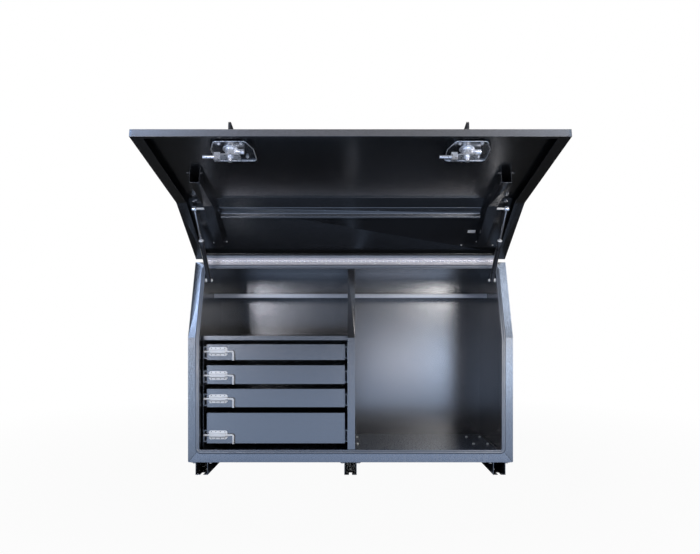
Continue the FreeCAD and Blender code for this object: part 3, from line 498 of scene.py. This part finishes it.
def hinge_leaf(name, body, first, side):
    """A leaf with every second fine knuckle and a row of low rivets. side is +1 on the cabinet."""
    bm = bmesh.new()
    near, far = side * HINGE_LEAF_GAP / 2, side * DOOR_GAP / 2
    hinge_brick(bm, -HINGE_HALF, HINGE_HALF, HINGE_RISE - 0.5, HINGE_LEAF, near, far)
    count = round(2 * HINGE_HALF / HINGE_PITCH)
    pitch = 2 * HINGE_HALF / count
    for k in range(first, count, 2):
        x0 = -HINGE_HALF + k * pitch + KNUCKLE_GAP / 2
        x1 = x0 + pitch - KNUCKLE_GAP
        knuckle(bm, x0, x1)
        hinge_brick(bm, x0, x1, KNUCKLE_WEB, HINGE_RISE, near, far)
    leaf = piece(name, bm, body, "hinge_steel", bevel=FINE_BEVEL)
    rivets = bmesh.new()
    for k in range(-5, 6):
        rivet(rivets, slope_at(k * LEAF_RIVET_PITCH, LEAF_RIVET_PLACE, near), SLOPE_OUT * side, 3.4, 0.24)
    piece(name + "_rivets", rivets, body, "zinc_hardware")
    return leaf


def piano_hinge():
    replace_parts(hinge_leaf("fine_hinge_leaf_cabinet", "cabinet", 0, 1), "hinge_leaf_cabinet")
    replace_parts(hinge_leaf("fine_hinge_leaf_door", "door", 1, -1), "hinge_leaf_door")


# ---- front frame -------------------------------------------------------------
def ring_places(offset):
    """(x, z) of a rounded frame round the opening, grown by an offset, with a point at each bend."""
    half, low = OPENING - SEAL_OVERLAP + offset, SILL_HEIGHT - offset
    high = HEADER_LOW + offset * math.cos(SLOPE)
    radius = SEAL_RADIUS + offset
    places = []
    for side, upper, turn in ((1, 0, -90), (1, 1, 0), (-1, 1, 90), (-1, 0, 180)):
        x = side * (half - radius)
        z = high - radius if upper else low + radius
        for k in range(SEAL_CORNER_STEPS + 1):
            angle = math.radians(turn + 90 / SEAL_CORNER_STEPS * k)
            places.append((x + radius * math.cos(angle), z + radius * math.sin(angle)))
        if turn in (-90, 90):
            places.append((side * half, FRONT_HEIGHT))
    return places


# Outwards from the opening and forwards from the frame: a flat foot and a low bulb.
SEAL_PROFILE = ((0, 0), (0.2, 0.9), (0.9, 1.4), (4.6, 1.5), (5.2, 1.0), (6.0, 1.1), (7.2, 2.3),
                (9.0, 2.85), (11.0, 3.0), (13.0, 2.6), (14.4, 1.8), (15.0, 0.7), (15.0, 0))


def seal():
    """Rubber strip round the opening: a flat foot inside and a low bulb along its outer edge."""
    bm = bmesh.new()
    hoop(bm, [[at(x, front_y(proud, z), z) for x, z in ring_places(offset)]
              for offset, proud in SEAL_PROFILE])
    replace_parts(piece("bulb_door_seal", bm, "cabinet", "seal_rubber", angle=50), "door_seal")


def weld_lines():
    """Ground welds that show as low ridges along the lower mitres of the front frame."""
    bm = bmesh.new()
    for side in (-1, 1):
        start = Vector((side * WELD_START[0], 0, WELD_START[1]))
        end = Vector((side * OPENING, 0, SILL_HEIGHT))
        along = (end - start).normalized()
        across = Vector((-along.z, 0, along.x))
        low = [start - across, end - across, end + across, start + across]
        high = [start - across * 0.3, end - across * 0.3, end + across * 0.3, start + across * 0.3]
        brick(bm, [at(p.x, 0.2, p.z) for p in low] + [at(p.x, -0.35, p.z) for p in high])
    piece("frame_mitre_welds", bm, "cabinet", "black_powder_coat")


def shelf_hems():
    """Rolled hem along the front of the narrow shelf, pale bluish as a painted highlight of the front light.
    """
    low, high = SHELF_TOP - SHELF_LIP + 0.5, SHELF_TOP - 0.5
    profile = ((0, low), (0.4 - HEM_PROUD, low + 0.6), (-HEM_PROUD, low + 3.5),
               (-HEM_PROUD, high - 3.5), (0.4 - HEM_PROUD, high - 0.6), (0, high))
    wall = HALF - SHEET - HEM_END_GAP
    bm = bmesh.new()
    for ends in ((-wall, DIVIDER_X - HEM_END_GAP), (DIVIDER_X + SHEET + HEM_END_GAP, wall)):
        bar(bm, [[at(x, SHELF_FRONT + y, z) for y, z in profile] for x in ends])
    piece("rear_shelf_hem", bm, "cabinet", "black_powder_coat", finish=PAINTED_HIGHLIGHT_COAT)


# ---- door --------------------------------------------------------------------
def contact_strip():
    """Band along the door's hinge lip, where the seal closes on it, pale bluish as a painted reflection of
    the floor.
    """
    bm = bmesh.new()
    face = -DOOR_GAP / 2
    hinge_brick(bm, -HINGE_HALF, HINGE_HALF, CONTACT_NEAR, CONTACT_FAR, face, face + CONTACT_PROUD)
    piece("door_contact_strip", bm, "door", "black_powder_coat", finish=PAINTED_HIGHLIGHT_COAT)


def lip_strip():
    """Smooth worn band along the outside of the door's free edge."""
    profile = ((LIP_INNER, DOOR_BOTTOM), (LIP_INNER, DOOR_BOTTOM - 0.15),
               (LIP_OUTER - 3.0, DOOR_BOTTOM - 0.3), (LIP_OUTER, DOOR_BOTTOM - 0.15),
               (LIP_OUTER, DOOR_BOTTOM))
    bm = bmesh.new()
    bar(bm, [[at(x, -offset, z) for offset, z in profile] for x in (-LIP_HALF, LIP_HALF)])
    piece("door_lip_strip", bm, "door", "black_powder_coat", finish=WORN_COAT)


def door_plate():
    """Small blank plate on the inside of the door's upper face."""
    back, face = DOOR_INSIDE, DOOR_INSIDE - PLATE_SHEET
    places = ((PLATE_LOW, back), (PLATE_LOW, face), (PLATE_HIGH, face), (PLATE_HIGH, back))
    bm = bmesh.new()
    brick(bm, [at(x, front_y(offset, z), z) for x in PLATE_ENDS for z, offset in places])
    piece("blank_plate", bm, "door", "zinc_hardware", bevel=FINE_BEVEL)


def door_rivets():
    """Coated rivets through the cross rail's leg, and bright ones beside the stiffeners."""
    coated, bright = bmesh.new(), bmesh.new()
    z = RAIL_LOW - RAIL_LEG / 2
    for k in range(RAIL_RIVET_COUNT):
        x = RAIL_RIVET_FIRST + RAIL_RIVET_PITCH * k
        rivet(coated, at(x, front_y(DOOR_INSIDE - CHANNEL_SHEET, z), z), -SLOPE_OUT, 3.4, 1.4)
    for x, z in BRIGHT_RIVETS:
        rivet(bright, at(x, front_y(DOOR_INSIDE, z), z), -SLOPE_OUT, 3.0, 1.2)
    piece("door_rail_rivets", coated, "door", "black_powder_coat")
    piece("door_rivets", bright, "door", "zinc_hardware")


# ---- locks -------------------------------------------------------------------
def pan_outline(grow):
    """(x, z) round a lock pan's dish: narrow towards the door's free edge, with rounded corners."""
    left, right = -PAN_LEFT - grow, PAN_RIGHT + grow
    low, bend, high = LOCK_Z - PAN_DOWN - grow, LOCK_Z - PAN_DOWN + PAN_TAPER, LOCK_Z + PAN_UP + grow
    corners = [Vector(p) for p in ((left + PAN_NARROW, low), (right - PAN_NARROW, low), (right, bend),
                                   (right, high), (left, high), (left, bend))]
    radius = PAN_RADIUS + grow
    places = []
    for k, corner in enumerate(corners):
        before = (corners[k - 1] - corner).normalized()
        after = (corners[(k + 1) % len(corners)] - corner).normalized()
        half = before.angle(after) / 2
        centre = corner + (before + after).normalized() * radius / math.sin(half)
        start = corner + before * radius / math.tan(half) - centre
        end = corner + after * radius / math.tan(half) - centre
        places += [centre + start.lerp(end, t / 5).normalized() * radius for t in range(6)]
    return places


# Outwards from the dish and backwards from its skirt's edge.
RIM_PROFILE = ((-1.0, -1.6), (1.4, -1.6), (1.5, 0.4), (0.9, 1.0), (0.0, 1.1), (-0.7, 0.7), (-1.0, 0.0))


def pan_rims():
    """Rolled rim round the back of each lock pan, its plating rubbed bright."""
    bm = bmesh.new()
    y = PAN_BACK + PAN_SKIRT
    for x in LOCK_PLACES:
        hoop(bm, [[at(x + px, y + rise, pz) for px, pz in pan_outline(grow)] for grow, rise in RIM_PROFILE])
    piece("lock_pan_rims", bm, "door", "lock_zinc", angle=50)


def lock_collars():
    """Cast foot with a rolled step, and a ring at the top of each lock housing."""
    bm = bmesh.new()
    r, top = HOUSING_RADIUS, HOUSING_LENGTH
    foot = [(r, 0), (r + 7, 0), (r + 7, 1.6), (r + 5.8, 2.6), (r + 1.6, 3.4), (r + 0.6, 5.5), (r, 6.0)]
    ring = [(r, top - 6.0), (r + 1.0, top - 5.6), (r + 1.2, top - 4.0), (r + 1.0, top - 2.2), (r, top - 1.8)]
    for x in LOCK_PLACES:
        for profile in (foot, ring):
            lathe(bm, profile, at(x, PAN_BACK, LOCK_Z), BACKWARDS, 28, tube=True)
    piece("lock_collars", bm, "door", "lock_zinc", angle=40)


# ---- gas struts --------------------------------------------------------------
def strut_line():
    """The right strut's lower eye with the door open, and the way to its upper one."""
    x, z = OPENING - STRUT_INSET, HEIGHT - STRUT_FOOT_DROP
    low = at(x, (z - FRONT_HEIGHT) * math.tan(SLOPE) + STRUT_FOOT_SETBACK, z)
    to_bend = HINGE_RISE + math.hypot(SLOPE_RUN, HEIGHT - FRONT_HEIGHT)
    high = SWING @ slope_at(x, to_bend - STRUT_HEAD_FROM_BEND, -STRUT_HEAD_INSET)
    return low, (high - low).normalized()


def stud_nuts(low):
    """Bright round nuts on both sides of each strut's lower eye."""
    bore, end = NUT_RADIUS - 1.2, NUT_RADIUS - 0.7
    nut = [(bore, 0), (end, 0), (NUT_RADIUS, 0.7), (NUT_RADIUS, NUT_LENGTH - 0.7), (end, NUT_LENGTH),
           (bore, NUT_LENGTH)]
    bm = bmesh.new()
    for side in (-1, 1):
        for start in (NUT_START, -NUT_START - NUT_LENGTH):
            lathe(bm, nut, Vector((side * low.x + start / 1000, low.y, low.z)), SIDEWAYS, 20, tube=True)
    piece("strut_stud_nuts", bm, "cabinet", "zinc_hardware")


def strut_details():
    """Black sleeve and a bright wiper ring at the open end of each cylinder."""
    low, along = strut_line()
    stud_nuts(low)
    sleeve = [(SLEEVE_BORE, -SLEEVE_LENGTH), (SLEEVE_RADIUS - 0.2, 0.6 - SLEEVE_LENGTH),
              (SLEEVE_RADIUS, 2.0 - SLEEVE_LENGTH), (SLEEVE_RADIUS, -1.2), (SLEEVE_RADIUS - 0.7, -0.2),
              (SLEEVE_BORE, 0.0)]
    gland = [(4.3, -0.6), (8.9, -0.6), (8.9, 0.3), (8.0, 0.8), (6.4, 1.0), (4.3, 1.0)]
    for side, body in ((-1, "left_strut_cylinder"), (1, "right_strut_cylinder")):
        place = Vector((side * low.x, low.y, low.z)) + along * STRUT_TUBE_LENGTH / 1000
        bm = bmesh.new()
        lathe(bm, sleeve, place, along, 28, tube=True)
        piece(body + "_sleeve", bm, body, "strut_black")
        bm = bmesh.new()
        lathe(bm, gland, place, along, 24, tube=True)
        piece(body + "_gland", bm, body, "zinc_hardware")


# ---- drawers -----------------------------------------------------------------
def case_screws(drawer):
    """Two rows of dark screws through the folded cover of a drawer's barrel bolt."""
    bm = bmesh.new()
    z = DRAWER_BOTTOMS[drawer] + BOLT_RISE
    for row in (-1, 1):
        for share in CASE_SCREW_SHARES:
            place = at(BOLT_CASE_LEFT + share * BOLT_CASE_LENGTH, DRAWER_FACE - BOLT_CASE_SHEET,
                       z + row * CASE_SCREW_ROW)
            rivet(bm, place, FRONT_OUT, 1.7, 0.7)
    piece(drawer + "_case_screws", bm, drawer, "lock_black")


# ---- floor and world, in metres ----------------------------------------------
FLOOR_HALF = 14
FLOOR_COLOR = (0.06, 0.06, 0.06, 1)
GLOSS_COLOR = (0.52, 0.68, 1.0, 1)
# The floor's share of plain white near the object, the distances between which it rises to all
# of it, and the places in front of the body between which its gloss turns bluish.
SHADOW_SHARE = 0.96
SHADOW_FADE = (0.9, 2.4)
GLOSS_FADE = (-0.2, -0.6)


def floor_material():
    """White to the camera, and bluish to gloss in front, keeping a trace of the object's shadow near it."""
    mat = bpy.data.materials.new("floor")
    g = Tree(mat)
    g.tree.nodes.clear()
    place = g.node("ShaderNodeTexCoord").outputs["Object"]
    ray = g.node("ShaderNodeLightPath").outputs
    matte = g.node("ShaderNodeBsdfDiffuse", {"Color": FLOOR_COLOR})
    white = g.node("ShaderNodeEmission")
    tinted = g.node("ShaderNodeEmission", {"Color": GLOSS_COLOR})
    away = g.node("ShaderNodeVectorMath", operation="LENGTH")
    g.link(place, away.inputs[0])
    axes = g.node("ShaderNodeSeparateXYZ")
    g.link(place, axes.inputs[0])
    seen = g.times(ray["Is Camera Ray"], g.ramp(away.outputs["Value"], SHADOW_SHARE, 1.0, *SHADOW_FADE))
    shone = g.times(ray["Is Glossy Ray"], g.ramp(axes.outputs["Y"], 0.0, 1.0, *GLOSS_FADE))
    for_gloss = g.mixed(shone, matte.outputs[0], tinted.outputs[0])
    for_eye = g.mixed(seen, for_gloss, white.outputs[0])
    g.link(for_eye, g.node("ShaderNodeOutputMaterial").inputs["Surface"])
    return mat


def stage():
    mesh = bpy.data.meshes.new("floor")
    half = FLOOR_HALF
    mesh.from_pydata([(-half, -half, 0), (half, -half, 0), (half, half, 0), (-half, half, 0)], [],
                     [(0, 1, 2, 3)])
    floor = bpy.data.objects.new("floor", mesh)
    bpy.context.collection.objects.link(floor)
    mesh.materials.append(floor_material())


def world():
    """White to the camera, and a faint bluish light from all round."""
    made = bpy.data.worlds.new("world")
    bpy.context.scene.world = made
    g = Tree(made)
    g.tree.nodes.clear()
    soft = g.node("ShaderNodeBackground", {"Color": (0.9, 0.95, 1.0, 1), "Strength": 0.02})
    white = g.node("ShaderNodeBackground", {"Color": (1, 1, 1, 1)})
    ray = g.node("ShaderNodeLightPath").outputs
    for_eye = g.mixed(ray["Is Camera Ray"], soft.outputs[0], white.outputs[0])
    g.link(for_eye, g.node("ShaderNodeOutputWorld").inputs["Surface"])


# ---- lamps and camera, in metres ---------------------------------------------
FACING_Y = -2.9
FACING_LOW = 0.22
FACING_HIGH = 1.06
CAMERA_DISTANCE = 2.2
CAMERA_HEIGHT = 0.555


def lamp(name, place, target, size, watts, color):
    data = bpy.data.lights.new(name, "AREA")
    data.shape = "RECTANGLE"
    data.size, data.size_y = size
    data.energy = watts
    data.color = color
    obj = bpy.data.objects.new(name, data)
    bpy.context.collection.objects.link(obj)
    obj.location = place
    aim = Vector(target) - Vector(place)
    obj.rotation_euler = aim.to_track_quat("-Z", "Y").to_euler()
    obj.visible_camera = False


def facing_lamp(name, x, z, size, watts, color):
    lamp(name, (x, FACING_Y, z), (x, 0, z), size, watts, color)


def lamps():
    """Low and high lamps that face the front, then four more from above and behind."""
    facing_lamp("low_left", -2.0, FACING_LOW, (0.8, 0.4), 13, (0.6, 0.76, 1.0))
    facing_lamp("low_middle", 0.5, FACING_LOW, (0.6, 0.4), 1.5, (0.95, 0.93, 1.0))
    facing_lamp("low_right", 1.1, FACING_LOW, (0.6, 0.4), 3.2, (0.6, 0.75, 1.0))
    facing_lamp("upper_left", -1.3, FACING_HIGH, (0.6, 0.48), 18, (0.9, 0.9, 1.0))
    facing_lamp("upper_right", 1.1, FACING_HIGH, (0.6, 0.48), 10, (1.0, 0.98, 0.98))
    facing_lamp("far_right", 1.9, FACING_HIGH, (1.0, 0.48), 30, (1.0, 0.97, 0.98))
    lamp("high_left", (-1.65, -2.3, 2.75), (-0.4, 0, 0.6), (1.0, 0.6), 17, (0.5, 0.66, 1.0))
    lamp("high_right", (1.65, -2.3, 2.75), (0.4, 0, 0.6), (1.0, 0.6), 9, (0.66, 0.78, 1.0))
    lamp("overhead", (0, -0.2, 3.4), (0, -0.2, 0), (2.6, 1.6), 60, (1.0, 0.97, 0.9))
    lamp("rear", (-1.2, 2.8, 0.7), (0, 0, 0.4), (2.6, 1.0), 34, (0.92, 0.96, 1.0))


def camera():
    """Level, in front of the body, with its view shifted up instead of tilted."""
    data = bpy.data.cameras.new("camera")
    data.lens = 30.65
    data.sensor_width = 36
    data.shift_x = -0.0007
    data.shift_y = 0.0686
    obj = bpy.data.objects.new("camera", data)
    bpy.context.collection.objects.link(obj)
    obj.location = (0, -DEPTH / 2000 - CAMERA_DISTANCE, CAMERA_HEIGHT)
    obj.rotation_euler = (math.radians(90), 0, 0)
    bpy.context.scene.camera = obj


bpy.context.scene.view_settings.view_transform = "Standard"
finish_nodes()
piano_hinge()
seal()
weld_lines()
shelf_hems()
contact_strip()
lip_strip()
door_plate()
door_rivets()
pan_rims()
lock_collars()
strut_details()
for drawer in DRAWER_BOTTOMS:
    case_screws(drawer)
stage()
world()
lamps()
camera()
